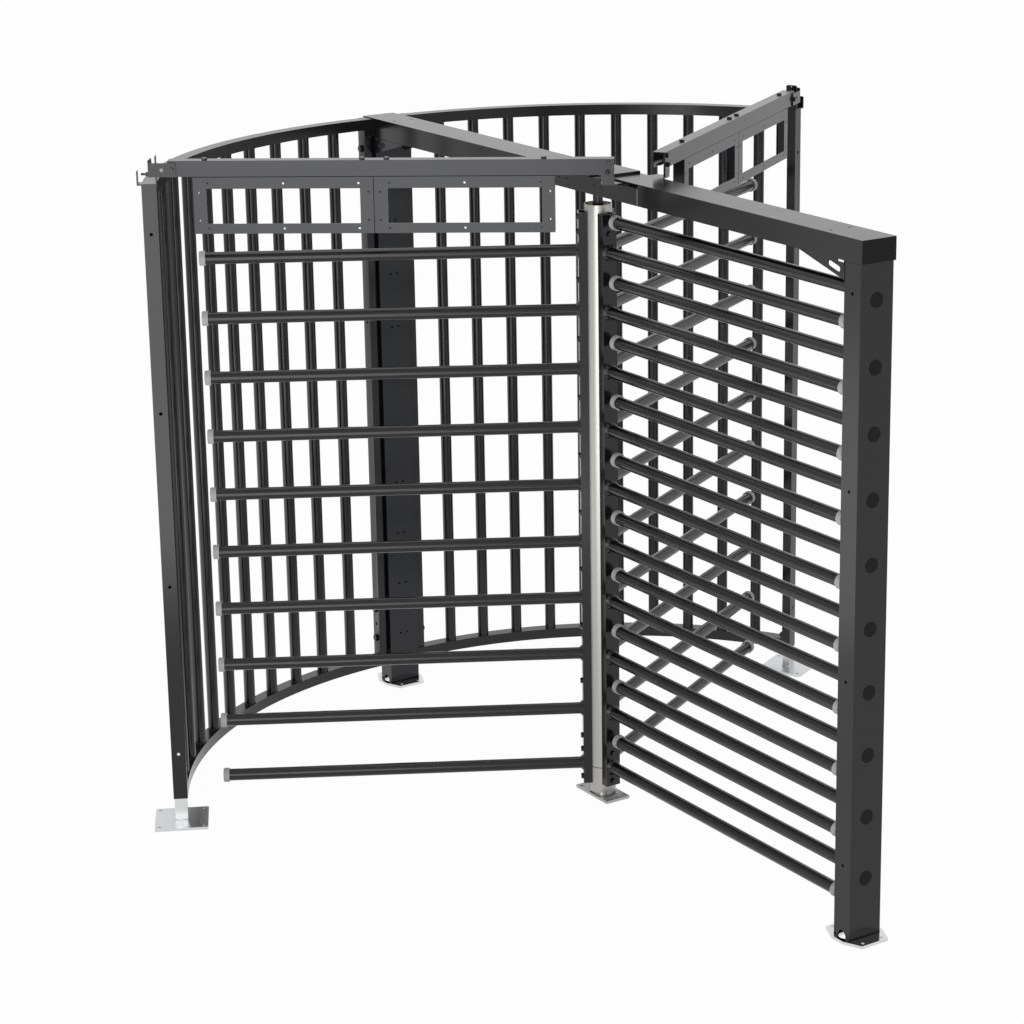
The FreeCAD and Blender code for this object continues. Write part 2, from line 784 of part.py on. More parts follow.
def cage_rail(z, side_y):
    """Box rail cut off square at its flange on the rear frame and at its flange on the post."""
    sweep = 180 + cage_bar_step - post_angle
    wall = cage_rail_wall
    rail = arc_bar(cage_rail_width, cage_rail_height, z, post_angle, sweep)
    bore = arc_bar(cage_rail_width - 2 * wall, cage_rail_height - 2 * wall, z + wall, post_angle, sweep)
    reach = 2 * cage_radius
    past_side = box(-reach, reach, -reach, side_y + cage_flange_thickness, z, z + cage_rail_height)
    past_post = moved(box(-reach, reach, -reach, post_depth / 2 + cage_flange_thickness,
                          z, z + cage_rail_height), post_place())
    return rail.cut(bore).cut([past_side, past_post])


def flange_bolt_offsets():
    return (-cage_bolt_spacing / 2, cage_bolt_spacing / 2)


def side_flange(side_y, low_z, bolt_z):
    x = arc_at_side(side_y + cage_flange_thickness / 2)
    height = cage_rail_height + cage_flange_tail
    plate = box(x - cage_rail_width / 2, x + cage_rail_width / 2, side_y, side_y + cage_flange_thickness,
                low_z, low_z + height)
    starts = [Vec(x + offset, side_y, bolt_z) for offset in flange_bolt_offsets()]
    return holes(plate, cage_bolt_d, cage_flange_thickness, starts, ALONG_Y)


def post_flange(low_z, bolt_z):
    y = post_depth / 2
    height = cage_rail_height + cage_flange_tail
    half = cage_rail_width / 2
    plate = box(-half, half, y, y + cage_flange_thickness, low_z, low_z + height)
    starts = [Vec(offset, y, bolt_z) for offset in flange_bolt_offsets()]
    return moved(holes(plate, cage_bolt_d, cage_flange_thickness, starts, ALONG_Y), post_place())


def cage_levels():
    """Low edge of both rails with the low edge and bolt height of their flanges."""
    top_rail = cage_top_z - cage_rail_height
    half_tail = cage_flange_tail / 2
    return {"top": (top_rail, top_rail - cage_flange_tail, top_rail - half_tail, beam_half_y),
            "bottom": (cage_bottom_z, cage_bottom_z, cage_bottom_z + cage_rail_height + half_tail,
                       column_width / 2)}


def make_cage():
    flanges = []
    bolts = []
    for name, (rail_z, flange_z, bolt_z, side_y) in cage_levels().items():
        save_pair("cage_" + name + "_rail", cage_rail(rail_z, side_y))
        flanges += [side_flange(side_y, flange_z, bolt_z), post_flange(flange_z, bolt_z)]
        bolts += flange_bolts(bolt_z, side_y)
    save_pair("cage_end_flanges", *flanges)
    save("cage_bolts", *bolts, *[mirrored(solid) for solid in bolts])
    bar_z = cage_bottom_z + cage_rail_height
    bar_length = cage_top_z - cage_rail_height - bar_z
    angles = [cage_first_angle - k * cage_bar_step for k in range(cage_bar_count)]
    bars = [tube(tube_d, tube_wall, bar_length, cage_point(angle) + Vec(0, 0, bar_z)) for angle in angles]
    save_pair("cage_bars", *bars)


def flange_bolts(z, side_y):
    """Bolts through one rail's two flanges, screwed into the flange's thickness."""
    x = arc_at_side(side_y + cage_flange_thickness / 2)
    found = []
    for offset in flange_bolt_offsets():
        seat = Vec(x + offset, side_y + cage_flange_thickness, z)
        found.append(bolt(seat, ALONG_Y, cage_bolt_d, cage_bolt_head, cage_bolt_head_height,
                          cage_flange_thickness))
        seat = Vec(offset, post_depth / 2 + cage_flange_thickness, z)
        found.append(moved(bolt(seat, ALONG_Y, cage_bolt_d, cage_bolt_head, cage_bolt_head_height,
                                cage_flange_thickness), post_place()))
    return found


# Posts and feet, in the post's own frame

def square_tube(half_x, half_y, wall, low_z, high_z):
    shell = box(-half_x, half_x, -half_y, half_y, low_z, high_z)
    return shell.cut(box(wall - half_x, half_x - wall, wall - half_y, half_y - wall, low_z, high_z))


def post():
    shell = square_tube(post_width / 2, post_depth / 2, post_wall, post_bottom_z, cage_top_z)
    starts = [Vec(0, -post_depth / 2, z) for z in wall_hole_heights()]
    return holes(shell, post_hole_d, post_wall, starts, ALONG_Y)


def post_foot():
    """Galvanised foot: a base plate with a stub that slides up inside the post."""
    plate = box(-foot_half, foot_half, -foot_half, foot_half, 0, plate_thickness)
    plate = round_edges(plate, foot_corner, UP)
    anchors = [Vec(a * foot_anchor, b * foot_anchor, 0) for a in (-1, 1) for b in (-1, 1)]
    plate = holes(plate, anchor_hole_d, plate_thickness, anchors)
    inset = post_wall + stub_fit
    stub = square_tube(post_width / 2 - inset, post_depth / 2 - inset, stub_wall, plate_thickness, stub_top_z)
    return plate.fuse(stub)


# Headers, sign frames and brackets, in the header's own frame: x along it, y behind its front face

def bracket_start():
    """Distance along the header to the inner edge of the angle's face plate."""
    post_centre = header_place.inverse().multVec(cage_point(post_angle))
    return post_centre.x - bracket_inset - bracket_face_length


def bracket_bolt_z():
    return (header_bottom_z + header_top_z - bracket_face_drop) / 2


def header_end():
    return bracket_start() + bracket_overlap


def header():
    """Lipped channel, open below, with a tab on its front face at the beam's end."""
    s0 = header_start
    s1 = header_end()
    shell = box(s0, s1, 0, header_depth, header_bottom_z, header_top_z)
    wall = header_wall
    bore = box(s0, s1, wall, header_depth - wall, header_bottom_z + wall, header_top_z - wall)
    mouth = box(s0, s1, header_lip, header_depth - header_lip, header_bottom_z, header_bottom_z + wall)
    tab_end = s0 + header_tab_length
    relief = box(s0, tab_end, wall, header_depth - wall, header_bottom_z, header_bottom_z + wall)
    low_z = header_bottom_z - header_tab_drop
    tab = prism([Vec(s0, 0, header_bottom_z), Vec(s0, 0, low_z), Vec(tab_end - tab_corner, 0, low_z),
                 Vec(tab_end, 0, low_z + tab_corner), Vec(tab_end, 0, header_bottom_z)], Vec(0, wall, 0))
    channel = shell.cut([bore, mouth, relief]).fuse(tab).removeSplitter()
    starts = [Vec(s, header_depth / 2, header_top_z - wall) for s in header_bolt_s]
    channel = holes(channel, header_bolt_d, wall, starts)
    fronts = [Vec(s0 + header_tab_length / 2, 0, header_bottom_z + header_tab_bolt_up),
              Vec(bracket_start() + bracket_bolt_inset, 0, bracket_bolt_z())]
    return holes(channel, header_bolt_d, wall, fronts, ALONG_Y)


def sign_frame(start):
    """Sheet frame with a window and a top edge folded back under the header."""
    end = start + sign_length
    face = box(start, end, 0, sign_sheet, sign_bottom_z, header_bottom_z)
    fold = box(start, end, 0, sign_return, header_bottom_z - sign_sheet, header_bottom_z)
    bend = prism([Vec(start, 0, header_bottom_z - sign_bend), Vec(start, sign_bend, header_bottom_z),
                  Vec(start, 0, header_bottom_z)], Vec(sign_length, 0, 0))
    window_z = sign_bottom_z + sign_bottom_border
    window = box(start + sign_side_border, end - sign_side_border, 0, sign_sheet,
                 window_z, window_z + sign_window_height)
    middle = (start + end) / 2
    points = [(middle + k * sign_row_pitch, z) for k in (-1, 0, 1)
              for z in (sign_bottom_z + sign_row_bottom_rise, header_bottom_z - sign_row_top_drop)]
    points += [(s, sign_bottom_z + rise) for s in (start + sign_side_inset, end - sign_side_inset)
               for rise in (sign_side_low_rise, sign_side_high_rise)]
    starts = [Vec(s, 0, z) for s, z in points]
    return holes(face.fuse(fold).cut([window, bend]), sign_hole_d, sign_sheet, starts, ALONG_Y)


def upright(x0, x1, y0, y1, z0, z1):
    """Plate that stands across x, its two top corners rounded."""
    plate = round_edges(box(x0, x1, y0, y1, z0 - fin_corner, z1), fin_corner, ALONG_X)
    return plate.common(box(x0, x1, y0, y1, z0, z1))


def end_angle():
    """Angle on the header's end: a plate over its front face and a web across the end."""
    s0 = bracket_start()
    s1 = s0 + bracket_face_length
    sheet_t = bracket_sheet
    top = header_top_z - bracket_face_drop
    face = box(s0, s1, -sheet_t, 0, header_bottom_z, top)
    for diameter, inset in ((header_bolt_d, bracket_bolt_inset), (bracket_hole_d, bracket_hole_inset)):
        face = holes(face, diameter, sheet_t, [Vec(s0 + inset, -sheet_t, bracket_bolt_z())], ALONG_Y)
    web = upright(s1, s1 + sheet_t, -sheet_t, header_depth, header_bottom_z, header_top_z + bracket_web_rise)
    return holes(face.fuse(web), stud_d, sheet_t, [Vec(s1, header_depth / 2, stud_z())], ALONG_X)


def stud_z():
    return header_bottom_z + stud_up


def saddle():
    """Channel on top of the post, its tall fin bolted to the angle and its low fin outside."""
    half = saddle_depth / 2
    low = cage_top_z
    inner = -saddle_inner_reach
    outer = saddle_outer_reach
    base = box(inner, outer, -half, half, low, low + bracket_sheet)
    tall = upright(inner, inner + bracket_sheet, -half, half, low, low + saddle_inner_rise)
    low_fin = upright(outer - bracket_sheet, outer, -half, half, low, low + saddle_outer_rise)
    slot_top = low + saddle_inner_rise - fin_slot_drop
    slot = box(inner, inner + bracket_sheet, -fin_slot_width / 2, fin_slot_width / 2,
               slot_top - fin_slot_height, slot_top)
    shape = moved(base.fuse([tall, low_fin]).cut(slot), post_place())
    path = rod(stud_d, stud_inset, Vec(bracket_start() + bracket_face_length - stud_inset / 2,
                                       header_depth / 2, stud_z()), ALONG_X)
    return shape.cut(moved(path, header_place))


def end_stud():
    """Stud through the saddle's tall fin and the angle's web, with a flanged nut outside."""
    s1 = bracket_start() + bracket_face_length + bracket_sheet
    seat = Vec(s1, header_depth / 2, stud_z())
    nut = bolt(seat, ALONG_X, stud_d, nut_size, nut_length, stud_inset / 2)
    flange = rod(nut_flange_d, nut_flange_height, seat, ALONG_X)
    return nut.fuse([flange, rod(stud_d, stud_reach, seat, ALONG_X)])


def beam_bracket():
    """Shelf through the slot over the panel, with a leg down inside and a lug up in the header."""
    shelf_z = header_bottom_z - header_tab_drop - bracket_sheet
    s0 = header_start
    s1 = s0 + header_tab_length
    local = [Vec(s0 - beam_bracket_overshoot, 0, shelf_z), Vec(s1, 0, shelf_z),
             Vec(s1, header_depth, shelf_z)]
    back_y = head_flange_y - bracket_sheet
    outline = [Vec(beam_bracket_near_x, back_y, shelf_z), Vec(beam_bracket_far_x, back_y, shelf_z)]
    outline += [header_place.multVec(point) for point in local]
    shelf = prism(outline, Vec(0, 0, bracket_sheet))
    leg = box(beam_bracket_near_x, beam_bracket_far_x, back_y, head_flange_y,
              panel_top_z + bracket_sheet - beam_bracket_leg, shelf_z)
    starts = [Vec(seat.x, back_y, seat.z) for seat in bracket_bolt_seats()]
    leg = holes(leg, header_bolt_d, bracket_sheet, starts, ALONG_Y)
    lug_plate = box(s0 + header_wall, s1 - header_wall, header_wall, header_wall + bracket_sheet,
                    shelf_z, header_top_z - 2 * header_wall)
    centre = Vec(s0 + header_tab_length / 2, header_wall, header_bottom_z + header_tab_bolt_up)
    lug_plate = holes(lug_plate, header_bolt_d, bracket_sheet, [centre], ALONG_Y)
    return shelf.fuse([leg, moved(lug_plate, header_place)]).removeSplitter()


def header_bolts():
    """Bolts of the +Y header: on its top, through its tab, at its end and inside the head."""
    size = (header_bolt_d, header_bolt_head, header_bolt_head_height)
    local = [bolt(Vec(s, header_depth / 2, header_top_z), UP, *size, header_bolt_grip) for s in header_bolt_s]
    grip = header_wall + bracket_sheet
    tab = Vec(header_start + header_tab_length / 2, 0, header_bottom_z + header_tab_bolt_up)
    local.append(bolt(tab, -ALONG_Y, *size, grip))
    face = Vec(bracket_start() + bracket_bolt_inset, -bracket_sheet, bracket_bolt_z())
    local.append(bolt(face, -ALONG_Y, *size, grip))
    local.append(end_stud())
    found = [moved(solid, header_place) for solid in local]
    for seat in bracket_bolt_seats():
        head = seat - Vec(0, bracket_sheet, 0)
        found.append(bolt(head, -ALONG_Y, *size, bracket_sheet + head_flange_thickness))
    return found


def make_headers():
    save_pair("post", moved(post(), post_place()))
    save_pair("post_foot", moved(post_foot(), post_place()))
    save_pair("header", moved(header(), header_place))
    frames = [sign_frame(sign_start), sign_frame(sign_start + sign_length + sign_gap)]
    save_pair("sign_frames", *[moved(frame, header_place) for frame in frames])
    save_pair("header_post_bracket", moved(end_angle(), header_place), saddle())
    save_pair("header_beam_bracket", beam_bracket())
    bolts = header_bolts()
    save("header_bolts", *bolts, *[mirrored(solid) for solid in bolts])


os.makedirs("parts", exist_ok=True)
make_columns()
make_beam()
make_comb()
make_wings()
make_rotor_core()
make_pivots()
make_lock()
make_cage()
make_headers()
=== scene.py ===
import json
import math

import bmesh
import bpy
from mathutils import Euler, Matrix, Vector


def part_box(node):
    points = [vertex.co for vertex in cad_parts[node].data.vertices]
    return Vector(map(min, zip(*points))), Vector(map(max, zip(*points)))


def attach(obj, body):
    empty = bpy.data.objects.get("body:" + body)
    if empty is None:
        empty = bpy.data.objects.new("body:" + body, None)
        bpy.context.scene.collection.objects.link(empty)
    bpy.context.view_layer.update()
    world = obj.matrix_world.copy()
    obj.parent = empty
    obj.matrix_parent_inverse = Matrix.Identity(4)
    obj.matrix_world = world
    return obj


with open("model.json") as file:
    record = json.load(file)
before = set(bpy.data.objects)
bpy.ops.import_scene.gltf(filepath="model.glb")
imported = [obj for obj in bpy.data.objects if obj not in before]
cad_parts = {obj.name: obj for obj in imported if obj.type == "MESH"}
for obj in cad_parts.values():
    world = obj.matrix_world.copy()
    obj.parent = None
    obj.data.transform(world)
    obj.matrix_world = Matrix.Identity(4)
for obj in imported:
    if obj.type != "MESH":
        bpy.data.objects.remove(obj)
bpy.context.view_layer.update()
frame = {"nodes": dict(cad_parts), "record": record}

# A full height turnstile. The CAD frame holds its main shapes; what follows gives each piece its finish,
# and adds the rear uprights and the small formed details. Metres throughout, in the frame's own axes:
# +Z up, and +X along the overhead beam towards the comb of bars.


# Camera
# The photograph was taken from above head height, on the front column's side, with a long lens. Place,
# turn and lens were fitted to the photographed edges of beam, columns, bars, headers and feet.
photo_width = 1024
focal_pixels = 2802.2
# In the photograph's pixels, the lens axis lies this far right of the picture's centre and above it.
axis_right = 100.4
axis_up = 53.3
camera_place = (7.8703, -5.333, 3.9636)
look_down = 0.276474
look_round = 0.97068
camera_roll = -0.006967

camera_data = bpy.data.cameras.new("photo_camera")
camera_data.sensor_width = 36.0
camera_data.lens = camera_data.sensor_width * focal_pixels / photo_width
camera_data.shift_x = -axis_right / photo_width
camera_data.shift_y = -axis_up / photo_width
camera_data.clip_start = 0.1
camera_data.clip_end = 200.0
camera = bpy.data.objects.new("photo_camera", camera_data)
bpy.context.scene.collection.objects.link(camera)
camera.location = camera_place
aim = Euler((math.pi / 2 - look_down, 0.0, look_round)).to_matrix()
camera.rotation_euler = (aim @ Matrix.Rotation(camera_roll, 3, "Z")).to_euler()
bpy.context.scene.camera = camera


# Studio
# A plain white floor that runs up into a white world. One soft box stands beside the camera and draws the
# long streaks on the tubes, two glowing panels on the floor carry it on downwards, and one lamp overhead
# lights the tops.
def linear(hex_colour):
    """The four linear channels of an sRGB colour written as six hex digits."""
    found = []
    for start in (0, 2, 4):
        value = int(hex_colour[start:start + 2], 16) / 255
        found.append(value / 12.92 if value <= 0.04045 else ((value + 0.055) / 1.055) ** 2.4)
    return (*found, 1.0)


def add_node(tree, kind, settings=None, inputs=None):
    """One node with its settings, and its inputs given as values or as other nodes' outputs."""
    node = tree.nodes.new(kind)
    for name, value in (settings or {}).items():
        setattr(node, name, value)
    for name, value in (inputs or {}).items():
        if isinstance(value, bpy.types.NodeSocket):
            tree.links.new(value, node.inputs[name])
        else:
            node.inputs[name].default_value = value
    return node


def seen_directly(tree):
    """1 for rays from the camera, from a mirror or through glass, 0 for those that only light."""
    path = add_node(tree, "ShaderNodeLightPath")
    either = add_node(tree, "ShaderNodeMath", {"operation": "MAXIMUM"},
                      {0: path.outputs["Is Camera Ray"], 1: path.outputs["Is Glossy Ray"]})
    return add_node(tree, "ShaderNodeMath", {"operation": "MAXIMUM"},
                    {0: either.outputs[0], 1: path.outputs["Is Transmission Ray"]}).outputs[0]


# The world looks white but lights the object at half of that, so that the lamps still model it.
world_fill = 0.5
white = linear("ffffff")
world = bpy.data.worlds.new("studio")
bpy.context.scene.world = world
world.use_nodes = True
world_tree = world.node_tree
world_tree.nodes.clear()
fill_light = add_node(world_tree, "ShaderNodeBackground", None, {"Color": white, "Strength": world_fill})
white_wall = add_node(world_tree, "ShaderNodeBackground", None, {"Color": white, "Strength": 1.0})
sky = add_node(world_tree, "ShaderNodeMixShader", None,
               {0: seen_directly(world_tree), 1: fill_light.outputs[0], 2: white_wall.outputs[0]})
add_node(world_tree, "ShaderNodeOutputWorld", None, {"Surface": sky.outputs[0]})

# The floor lies half a millimetre low, so that it never touches the undersides of the plates.
floor_half = 30.0
floor_drop = 0.0005
floor_corners = [(-floor_half, -floor_half, 0), (floor_half, -floor_half, 0),
                 (floor_half, floor_half, 0), (-floor_half, floor_half, 0)]
floor_mesh = bpy.data.meshes.new("studio_floor")
floor_mesh.from_pydata(floor_corners, [], [(0, 1, 2, 3)])
floor = bpy.data.objects.new("studio_floor", floor_mesh)
bpy.context.scene.collection.objects.link(floor)
floor.location.z = -floor_drop

# White background paper: seen directly it is an even glow with a last 3 percent of lit matt paper, so
# only a breath of shadow is left under the object.
paper_glow = 0.97
paper = bpy.data.materials.new("white_studio_floor")
paper.use_nodes = True
paper_tree = paper.node_tree
paper_tree.nodes.clear()
matt = add_node(paper_tree, "ShaderNodeBsdfDiffuse", None, {"Color": linear("f4f4f4")})
glow = add_node(paper_tree, "ShaderNodeEmission", None, {"Color": white, "Strength": 1.0})
share = add_node(paper_tree, "ShaderNodeMath", {"operation": "MULTIPLY"},
                 {0: seen_directly(paper_tree), 1: paper_glow})
mixed = add_node(paper_tree, "ShaderNodeMixShader", None,
                 {0: share.outputs[0], 1: matt.outputs[0], 2: glow.outputs[0]})
add_node(paper_tree, "ShaderNodeOutputMaterial", None, {"Surface": mixed.outputs[0]})
floor_mesh.materials.append(paper)


def soft_box(name, place, target, width, height, brightness):
    """A rectangular lamp that faces the target. A mirror shows brightness 1 as white."""
    data = bpy.data.lights.new(name, "AREA")
    data.shape = "RECTANGLE"
    data.size = width
    data.size_y = height
    data.energy = brightness * math.pi * width * height
    lamp = bpy.data.objects.new(name, data)
    bpy.context.scene.collection.objects.link(lamp)
    lamp.location = place
    lamp.rotation_euler = (Vector(target) - Vector(place)).to_track_quat("-Z", "Y").to_euler()
    lamp.visible_camera = False
    return lamp


def floor_panel(name, place, azimuth, width, length, brightness):
    """A lamp that lies 1 cm above the floor and shines up, its length at the azimuth in degrees."""
    panel = soft_box(name, (*place, 0.01), (*place, 1.0), length, width, brightness)
    panel.rotation_euler = (math.pi, 0.0, math.radians(azimuth))


# The panel in front continues the front box, so it has the same size and brightness.
front_width = 3.2
front_height = 3.6
front_brightness = 2.9
soft_box("front_box", place=(4.6, -5.0, 1.9), target=(0.0, -0.4, 1.9),
         width=front_width, height=front_height, brightness=front_brightness)
floor_panel("front_panel", place=(3.25, -3.7), azimuth=-43.0,
            width=front_width, length=front_height, brightness=front_brightness)
floor_panel("left_panel", place=(-2.6, -3.6), azimuth=-140.0, width=4.2, length=5.0, brightness=1.0)
soft_box("overhead_box", place=(-1.0, 0.5, 8.0), target=(0.0, 0.0, 1.1),
         width=5.0, height=5.0, brightness=1.2)


# Frame sheet metal and tubes
# Columns, beam, bars, cage and wings are mild steel, sawn, folded and welded, then powder-coated black
# in one go. The coat is dark where it faces the room, and bars mirror the lamp in soft bright streaks.
def new_material(name):
    """A material with no nodes yet."""
    material = bpy.data.materials.new(name)
    material.use_nodes = True
    material.node_tree.nodes.clear()
    return material


def per_metre(size_mm):
    """A pattern's scale in repeats per metre, from the size of one repeat in millimetres."""
    return 1000.0 / size_mm


def coated_steel(name, dark, light, roughness):
    """Steel under a thin dark coat. Its depth drifts over 143 mm or so, which shades tone and gloss.
    Its skin has an orange peel of 2.4 mm, as sprayed powder has, which softens what it mirrors."""
    gloss_drift = 0.04
    material = new_material(name)
    tree = material.node_tree
    place = add_node(tree, "ShaderNodeTexCoord").outputs["Object"]
    cloud = add_node(tree, "ShaderNodeTexNoise", None,
                     {"Vector": place, "Scale": per_metre(143), "Detail": 4.0})
    peel = add_node(tree, "ShaderNodeTexNoise", None,
                    {"Vector": place, "Scale": per_metre(2.38), "Detail": 2.0})
    tone = add_node(tree, "ShaderNodeMix", {"data_type": "RGBA"},
                    {"Factor": cloud.outputs["Fac"], "A": linear(dark), "B": linear(light)})
    rough = add_node(tree, "ShaderNodeMapRange", None,
                     {"Value": cloud.outputs["Fac"],
                      "To Min": roughness - gloss_drift, "To Max": roughness + gloss_drift})
    bump = add_node(tree, "ShaderNodeBump", None,
                    {"Height": peel.outputs["Fac"], "Strength": 0.1, "Distance": 0.0005})
    shader = add_node(tree, "ShaderNodeBsdfPrincipled", None,
                      {"Base Color": tone.outputs["Result"], "Roughness": rough.outputs["Result"],
                       "Specular IOR Level": 0.4, "Normal": bump.outputs["Normal"]})
    add_node(tree, "ShaderNodeOutputMaterial", None, {"Surface": shader.outputs[0]})
    return material


def in_slot(slot):
    """The CAD pieces that the record puts in this material slot."""
    return [row["node"] for row in frame["record"]["subparts"] if row["material_slot"] == slot]


def dress(names, material):
    """Give these CAD pieces this material alone."""
    for name in names:
        piece = frame["nodes"][name]
        piece.data.materials.clear()
        piece.data.materials.append(material)


# Satin black powder coat, sprayed and baked: almost black, and only as glossy as to draw a soft streak.
satin_black = coated_steel("satin_black_powder_coated_steel", dark="0d0d0e", light="101011", roughness=0.2)
dress(in_slot("black_powder_coat"), satin_black)


# Headers and sign frames
# The headers are channels folded from thinner sheet and bolted between beam and posts. The sign frames
# are cut and folded from sheet too, and hang in the headers' front plane. All are powder-coated in one
# batch with the rear column.

# Satin black powder coat of a bluer batch: its faces look slate grey in the light.
blue_black = coated_steel("blue_black_powder_coated_sheet", dark="101318", light="14171d", roughness=0.2)
dress(["left_header", "right_header", "left_sign_frames", "right_sign_frames", "rear_column"], blue_black)


# Rear uprights
# A tube stands beside the rear column on each side and takes the ends of the cage rails. It is the same
# kind of tube as the end posts, 50 by 35 mm with a 2.5 mm wall, as tall, and drilled and coated like them.
# Three M16 bolts with washers go through it on each side.
def add_lathe(mesh, profile, place, sides, closed=False):
    """Turn (radius, height) points about the Z axis of their place; six sides make a hexagon."""
    turns = [2 * math.pi * k / sides for k in range(sides)]
    rows = []
    for radius, height in profile:
        points = [Vector((radius * math.cos(turn), radius * math.sin(turn), height)) for turn in turns]
        rows.append([mesh.verts.new(place @ point) for point in points])
    for low, high in zip(rows, rows[1:] + (rows[:1] if closed else [])):
        for k in range(sides):
            mesh.faces.new((low[k], low[(k + 1) % sides], high[(k + 1) % sides], high[k]))
    if not closed:
        mesh.faces.new(rows[0][::-1])
        mesh.faces.new(rows[-1])


def facing(point, direction):
    """A place at the point whose Z axis looks along the direction."""
    turn = Vector(direction).to_track_quat("Z", "Y").to_matrix().to_4x4()
    return Matrix.Translation(Vector(point)) @ turn


def finish_piece(name, mesh, material, body, smooth=0.0):
    """Turn a bmesh into a piece on its body. Faces that meet under the smooth angle are shaded as one."""
    bmesh.ops.recalc_face_normals(mesh, faces=mesh.faces)
    for face in mesh.faces:
        face.smooth = smooth > 0
    for edge in mesh.edges:
        edge.smooth = len(edge.link_faces) == 2 and edge.calc_face_angle(math.pi) < math.radians(smooth)
    data = bpy.data.meshes.new(name)
    mesh.to_mesh(data)
    mesh.free()
    data.materials.append(material)
    piece = bpy.data.objects.new(name, data)
    bpy.context.scene.collection.objects.link(piece)
    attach(piece, body)
    return piece


def rounded_outline(half_x, half_y, radius, steps=4):
    """Points round a rectangle with round corners, anticlockwise."""
    points = []
    for corner, (side_x, side_y) in enumerate([(1, 1), (-1, 1), (-1, -1), (1, -1)]):
        for step in range(steps + 1):
            turn = math.pi / 2 * (corner + step / steps)
            points.append((side_x * (half_x - radius) + radius * math.cos(turn),
                           side_y * (half_y - radius) + radius * math.sin(turn)))
    return points


def add_box_tube(mesh, centre, size, wall, radius, bottom, top):
    """An upright rectangular tube, open at both ends. Its inner corners are almost sharp."""
    inner_radius = 0.0004
    outer = rounded_outline(size[0] / 2, size[1] / 2, radius)
    inner = rounded_outline(size[0] / 2 - wall, size[1] / 2 - wall, inner_radius)
    rings = [[mesh.verts.new((centre[0] + x, centre[1] + y, z)) for x, y in outline]
             for outline, z in ((outer, bottom), (outer, top), (inner, top), (inner, bottom))]
    count = len(outer)
    for low, high in zip(rings, rings[1:] + rings[:1]):
        for k in range(count):
            mesh.faces.new((low[k], low[(k + 1) % count], high[(k + 1) % count], high[k]))


def drill(piece, diameter, length, places):
    """Cut round holes through a piece, each centred on its place and running along its Z axis."""
    cutter_mesh = bmesh.new()
    for place in places:
        add_lathe(cutter_mesh, [(diameter / 2, -length / 2), (diameter / 2, length / 2)], place, sides=24)
    bmesh.ops.recalc_face_normals(cutter_mesh, faces=cutter_mesh.faces)
    cutter_data = bpy.data.meshes.new("drill")
    cutter_mesh.to_mesh(cutter_data)
    cutter_mesh.free()
    cutter = bpy.data.objects.new("drill", cutter_data)
    bpy.context.scene.collection.objects.link(cutter)
    cut = piece.modifiers.new("drilled", "BOOLEAN")
    cut.operation = "DIFFERENCE"
    cut.object = cutter
    shaped = piece.evaluated_get(bpy.context.evaluated_depsgraph_get())
    drilled = bpy.data.meshes.new_from_object(shaped)
    piece.modifiers.clear()
    piece.data = drilled
    bpy.data.objects.remove(cutter)


# The tube's place and the heights of its holes and bolts were read from the photograph.
upright_size = (0.050, 0.035)
upright_wall = 0.0025
upright_corner = 0.0025
upright_x = -1.459
upright_y = 0.0857
upright_hole = 0.012
upright_hole_heights = (0.2586, 1.501)
drill_length = 0.060
post_low, post_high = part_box("right_post")
for side, name in ((-1, "left_rear_upright"), (1, "right_rear_upright")):
    tube = bmesh.new()
    add_box_tube(tube, (upright_x, side * upright_y), upright_size, upright_wall, upright_corner,
                 post_low[2], post_high[2])
    upright = finish_piece(name, tube, satin_black, "frame", smooth=40)
    holes = [facing((upright_x, side * upright_y, z), (0, 1, 0)) for z in upright_hole_heights]
    drill(upright, upright_hole, drill_length, holes)

# The washers sink a tenth of a millimetre into the tube, and the hexagon heads into the washers.
upright_bolt_heights = (0.2006, 0.3227, 2.1829)
washer_profile = [(0.0150, 0.0), (0.0150, 0.0024), (0.0146, 0.0028)]
head_profile = [(0.0138, 0.0026), (0.0138, 0.0096), (0.0122, 0.0108)]
seat_y = upright_y + upright_size[1] / 2 - 0.0001
upright_bolts = bmesh.new()
for side in (-1, 1):
    for z in upright_bolt_heights:
        seat = facing((upright_x, side * seat_y, z), (0, side, 0))
        add_lathe(upright_bolts, washer_profile, seat, sides=32)
        add_lathe(upright_bolts, head_profile, seat, sides=6)
finish_piece("rear_upright_bolts", upright_bolts, satin_black, "frame", smooth=30)


# Sign frame ends
# Each sign frame is folded back at its ends, almost as deep as the header, with a narrow lip behind. That
# makes it a shallow tray for the sign. The ends are the frame's own sheet, folded and coated with it, and
# a strip of the same sheet closes the gap between the two trays of a header.
def add_block(mesh, place, low, high):
    """A box between two corners in the frame of its place."""
    corners = [mesh.verts.new(place @ Vector((x, y, z))) for z in (low[2], high[2])
               for x, y in ((low[0], low[1]), (high[0], low[1]), (high[0], high[1]), (low[0], high[1]))]
    for face in ((3, 2, 1, 0), (4, 5, 6, 7), (0, 1, 5, 4), (1, 2, 6, 5), (2, 3, 7, 6), (3, 0, 4, 7)):
        mesh.faces.new([corners[k] for k in face])


# A header's place has X along the header from the beam's centre line, and Y back from its front plane.
header_line_x = 0.3259
header_angle = math.radians(125.05)
right_header_place = Matrix.Translation((header_line_x, 0, 0)) @ Matrix.Rotation(header_angle, 4, "Z")
left_header_place = Matrix.Scale(-1, 4, (0, 1, 0)) @ right_header_place

sign_start = 0.326
sign_length = 0.603
sign_gap = 0.004
sign_sheet = 0.003
sign_front = 0.0028
sign_back = 0.042
sign_bottom = 2.1317
sign_top = 2.3222
lip_width = 0.010
lip_front = 0.039
strip_front = 0.010
strip_back = 0.0415
